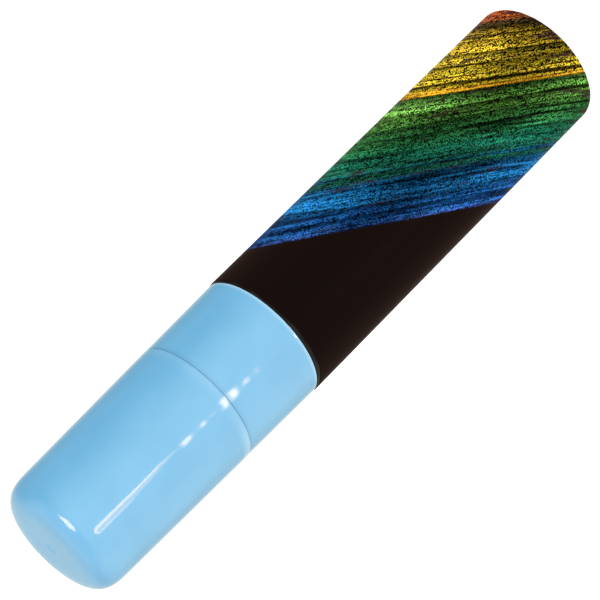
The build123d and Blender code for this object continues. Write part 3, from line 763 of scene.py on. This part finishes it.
def makeSpring(look):
    wire = look["wire"] / 2
    t = np.linspace(0, 1, look["steps"])[:, None]
    angle = 2 * math.pi * look["turns"] * t
    ease = t - np.sin(2 * math.pi * t) / (2 * math.pi) * look["flatEnds"]
    centre = springReach - wire
    low, high = springBase + wire, springTop - wire
    side = 2 * math.pi * np.arange(look["sides"]) / look["sides"]
    radius = centre + wire * np.cos(side)
    z = low + (high - low) * ease + wire * np.sin(side)
    rows = np.stack([radius * np.cos(angle), radius * np.sin(angle), z], axis=-1)
    rows = np.concatenate([rows[:1], rows, rows[-1:]])
    return skin("coilSpring", rows, "poles")


spring = dress(makeSpring(coilSpring), springSteel, "spring_steel", "barrel_body", "valve_spring")
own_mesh(spring)
print("nib and spring made")

# finishes for the CAD nodes that stay as they are
finishes = dict(
    barrel_seal=sealRubber, valve_gasket=sealRubber, stem_seal=sealRubber,
    valve_seat=valvePlastic, valve_stem=valvePlastic, valve_cage=valvePlastic,
    mixing_ball_a=ballSteel, mixing_ball_b=ballSteel)
for name, finish in finishes.items():
    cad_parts[name].data.materials.clear()
    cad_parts[name].data.materials.append(finish)
print("CAD nodes finished:", len(finishes))


# Floor: a pale sheet that the marker stands on, with a faint tooth and a glow that is stronger at the foot
def makeFloor(look):
    half = look["size"] / 2
    mesh = bpy.data.meshes.new("floor")
    corners = np.array([(-1, -1, 0), (1, -1, 0), (1, 1, 0), (-1, 1, 0)]) * half
    mesh.from_pydata(corners.tolist(), [], [(0, 1, 2, 3)])
    floor = bpy.data.objects.new("floor", mesh)
    scene.collection.objects.link(floor)
    made, tree, shader, coords = material("paleFloor", {
        "Roughness": look["rough"], "Specular IOR Level": look["gloss"], "Emission Color": (1, 1, 1, 1)})
    tooth = noise(tree, coords, look["toothScale"], 2)
    colour = mixColours(tree, tooth, look["deep"], look["pale"])
    away = node(tree, "VectorMath", {0: coords}, operation="LENGTH").outputs[1]
    near, far = look["footReach"]
    glow = smooth(tree, away, near * mm, far * mm, look["footGlow"], look["glow"])
    plug(tree, shader, Base_Color=colour, Emission_Strength=glow,
         Normal=bump(tree, tooth, look["tooth"], look["toothDepth"]))
    mesh.materials.append(made)


makeFloor(dict(size=8.0, glow=0.45, footGlow=1.0, footReach=(15, 45), deep=(0.93, 0.93, 0.93),
               pale=(0.97, 0.97, 0.97), rough=0.9, gloss=0.1, toothScale=300, tooth=0.05, toothDepth=0.2))

# Camera: turned round the marker's middle by its elevation, then rolled about its view so that the cap
# points to the lower left; right and up are the level axes turned by the roll
photoView = dict(aim=79.0, distance=556.4, elevation=24.03, roll=-134.95, lens=164.19, sensor=36.0)


def makeCamera(look):
    rise, roll = math.radians(look["elevation"]), math.radians(look["roll"])
    backward = Vector((0, -math.cos(rise), math.sin(rise)))
    level, upward = Vector((1, 0, 0)), Vector((0, math.sin(rise), math.cos(rise)))
    right = math.cos(roll) * level + math.sin(roll) * upward
    up = math.cos(roll) * upward - math.sin(roll) * level
    data = bpy.data.cameras.new("photoCamera")
    data.lens, data.sensor_width, data.sensor_fit = look["lens"], look["sensor"], "AUTO"
    data.clip_start, data.clip_end = 0.01, 50
    camera = bpy.data.objects.new("photoCamera", data)
    turned = Matrix((right, up, backward)).transposed().to_4x4()
    place = Vector((0, 0, look["aim"] * mm)) + backward * look["distance"] * mm
    camera.matrix_world = Matrix.Translation(place) @ turned
    scene.collection.objects.link(camera)
    scene.camera = camera


makeCamera(photoView)


# Area light at a place in millimetres, facing a point; size is width by height
def areaLight(name, look):
    data = bpy.data.lights.new(name, "AREA")
    data.shape, data.size, data.size_y = "RECTANGLE", look["size"][0] * mm, look["size"][1] * mm
    data.energy = look["power"]
    light = bpy.data.objects.new(name, data)
    place, aim = Vector(look["place"]) * mm, Vector(look["aim"]) * mm
    turned = (aim - place).to_track_quat("-Z", "Y").to_matrix().to_4x4()
    light.matrix_world = Matrix.Translation(place) @ turned
    light.visible_camera = light.visible_glossy = False
    scene.collection.objects.link(light)


areaLight("topSoftbox", dict(size=(330, 200), power=2.7, place=(103, -367, 869), aim=(0, 0, 130)))
areaLight("sideSoftbox", dict(size=(900, 900), power=2.4, place=(-620, -900, 800), aim=(0, 0, 80)))


# material with an empty tree, for things that only glow
def bareMaterial(name):
    made = bpy.data.materials.new(name)
    made.use_nodes = True
    made.node_tree.nodes.clear()
    return made, made.node_tree


# Glint cards: bright cards that only show as reflections on the gloss of cap and collar. A point of the cap
# at arc + shift mirrors a card at the distance given along the reflected ray, so each card's place follows
# from the heights where its glint shows; cards are (low z, high z, width at low z, width at high z, power,
# shift) of the glints. From firstSoft on they fade to clear, from a core's share of their half width out to
# their sides. The other cards, diamonds or squares, are mirrored by a rounded edge at a given spot.
glints = dict(arc=-3.8, distance=45, stagger=0.5, tint=(1, 0.66, 0.4), cards=[
    (131.0, 146.0, 0.7, 1.8, 7, 0.0), (146.0, 148.4, 1.8, 1.6, 7, 0.0),
    (129.0, 146.0, 0.3, 0.5, 16, 0.4), (146.0, 148.3, 0.5, 0.5, 16, 0.4),
    (139.0, 148.4, 0.2, 0.35, 11, -0.65), (148.2, 148.8, 1.4, 0.8, 13, 0.0),
    (126.0, 131.0, 0.3, 0.6, 8, 0.2), (121.0, 125.0, 1.2, 1.7, 18, 0.0), (117.3, 119.1, 1.1, 1.2, 17, 0.0),
    (114.9, 116.3, 0.8, 0.8, 7, 0.0), (110.9, 113.2, 2.9, 2.5, 23, 0.0), (107.8, 110.6, 2.1, 2.8, 23, 0.0),
    (104.6, 106.4, 1.4, 1.4, 15, 0.0), (101.6, 103.3, 1.5, 1.5, 7, 0.0), (96.6, 98.4, 1.8, 1.8, 4, 0.0)],
    firstSoft=7, core=0.35, step=0.01,
    edges=[dict(spot=(0, -10, 150), towards=(0.127, -0.441, 0.889), distance=200, size=(120, 110),
                square=0.1, power=15),
           dict(spot=(-3.7, -14.3, 91.2), towards=(-0.367, -0.494, -0.789), distance=60, size=(6, 60),
                square=1, power=30)])


def makeGlints(look):
    eye = np.array(scene.camera.matrix_world.translation) / mm
    cards = np.array(look["cards"])
    z = cards[:, [0, 0, 1, 1]].ravel()
    width = cards[:, [2, 2, 3, 3]].ravel()
    sign = np.tile([-1, 1, 1, -1], len(cards))
    radius, step = capOutline(z), look["step"]
    slope = (capOutline(z - step) - capOutline(z + step)) / (2 * step)
    angle = (look["arc"] + np.repeat(cards[:, 5], 4) + sign * width / 2) / radius
    normal = np.stack([np.sin(angle), -np.cos(angle), slope], axis=-1) / np.hypot(1, slope)[:, None]
    spot = np.stack([radius * np.sin(angle), -radius * np.cos(angle), z], axis=-1)
    view = (eye - spot) / np.linalg.norm(eye - spot, axis=1)[:, None]
    mirrored = 2 * (normal * view).sum(axis=1)[:, None] * normal - view
    closer = np.repeat(look["stagger"] * np.arange(len(cards)), 4)[:, None]  # later cards lie in front
    points = [spot + mirrored * (look["distance"] - closer)]
    for edge in look["edges"]:
        towards = np.array(edge["towards"])
        sideways = np.cross((0, 0, 1), towards)
        wide = sideways / np.linalg.norm(sideways) * edge["size"][0] / 2
        tall = np.cross(towards, wide) / np.linalg.norm(wide) * edge["size"][1] / 2
        wider, taller = edge["square"] * wide, edge["square"] * tall
        corners = np.stack([-wide - taller, wider - tall, wide + taller, tall - wider])
        points.append(edge["spot"] + towards * edge["distance"] + corners)
    points = np.concatenate(points)
    mesh = bpy.data.meshes.new("glintCards")
    mesh.from_pydata((points * mm).tolist(), [], np.arange(len(points)).reshape(-1, 4).tolist())
    power = mesh.attributes.new("power", "FLOAT", "FACE")
    strengths = np.r_[cards[:, 4], [edge["power"] for edge in look["edges"]]]
    power.data.foreach_set("value", strengths.astype(np.float32))
    spread = np.tile([(-1, -1), (1, -1), (1, 1), (-1, 1)], (len(points) // 4, 1)).astype(np.float32)
    number = np.arange(len(points)) // 4
    spread[(number < look["firstSoft"]) | (number >= len(cards))] = 0
    mesh.uv_layers.new(name="spread").data.foreach_set("uv", spread.ravel())
    made, tree = bareMaterial("glintCard")
    place = parts(tree, node(tree, "UVMap", uv_map="spread").outputs[0])
    fades = [smooth(tree, math2(tree, "ABSOLUTE", side), look["core"], 1.0, 1.0, 0.0) for side in place[:2]]
    clear = node(tree, "BsdfTransparent").outputs[0]
    glow = node(tree, "Emission", {"Color": look["tint"] + (1,), "Strength": attribute(tree, "power")})
    faded = node(tree, "MixShader", {0: times(tree, *fades), 1: clear, 2: glow.outputs[0]})
    node(tree, "OutputMaterial", {"Surface": faded.outputs[0]})
    mesh.materials.append(made)
    card = bpy.data.objects.new("glintCards", mesh)
    card.visible_camera = card.visible_diffuse = card.visible_shadow = False
    scene.collection.objects.link(card)


makeGlints(glints)


# Light tent: a tube with a roof round the marker that only shows as reflections. Its glow is dim at the
# right, stronger at the back, and bright over a panel at the front left; each fades over the angles given
# (0 is the front, -90 the left), and upwards all fade to the glow of the sky.
def makeTent(look):
    turn = np.linspace(0, 2 * math.pi, look["sides"] + 1)[:-1]
    x, y = look["radius"] * np.sin(turn), -look["radius"] * np.cos(turn)
    low, high = (np.stack([x, y, 0 * turn + z], axis=-1) for z in look["heights"])
    index = np.arange(len(turn))
    after = np.roll(index, -1)
    faces = np.stack([index, after, after + len(turn), index + len(turn)], axis=-1)
    roof = np.stack([index + len(turn), after + len(turn), 0 * index + 2 * len(turn)], axis=-1)
    points = np.concatenate([low, high, [(0, 0, look["heights"][1])]]) * mm
    mesh = bpy.data.meshes.new("lightTent")
    mesh.from_pydata(points.tolist(), [], faces.tolist() + roof.tolist())
    made, tree = bareMaterial("tentCloth")
    x, y, z = parts(tree, node(tree, "TexCoord").outputs["Object"])
    angle = frontAngle(tree, x, y)
    panel = times(tree, smooth(tree, angle, *look["fadeIn"]), smooth(tree, angle, *look["fadeOut"], 1.0, 0.0))
    behind = smooth(tree, math2(tree, "ABSOLUTE", angle), *look["behind"])
    behind = timesPlus(tree, behind, look["back"] - look["dim"], look["dim"] - look["sky"])
    around = timesPlus(tree, panel, look["panel"], behind)
    up = smooth(tree, z, look["fadeUp"][0] * mm, look["fadeUp"][1] * mm, 1.0, 0.0)
    strength = timesPlus(tree, around, up, look["sky"])
    tint = mixColours(tree, up, look["skyTint"], look["wallTint"])
    glow = node(tree, "Emission", {"Color": tint, "Strength": strength})
    node(tree, "OutputMaterial", {"Surface": glow.outputs[0]})
    mesh.materials.append(made)
    tent = bpy.data.objects.new("lightTent", mesh)
    tent.visible_camera = tent.visible_diffuse = tent.visible_shadow = False
    scene.collection.objects.link(tent)


makeTent(dict(radius=170, sides=96, heights=(1, 400), fadeIn=(-161, -77), fadeOut=(2, 84), behind=(126, 166),
              fadeUp=(230, 390), panel=2.3, dim=0.25, back=1.0, sky=1.75,
              skyTint=(0.93, 1, 1.1), wallTint=(1, 1, 0.85)))

softRoom = dict(Color=(1, 1, 1, 1), Strength=0.66)
scene.world = bpy.data.worlds.new("softRoom")
scene.world.use_nodes = True
for key, value in softRoom.items():
    scene.world.node_tree.nodes["Background"].inputs[key].default_value = value
scene.view_settings.view_transform = "Standard"
print("camera, floor and lights made")
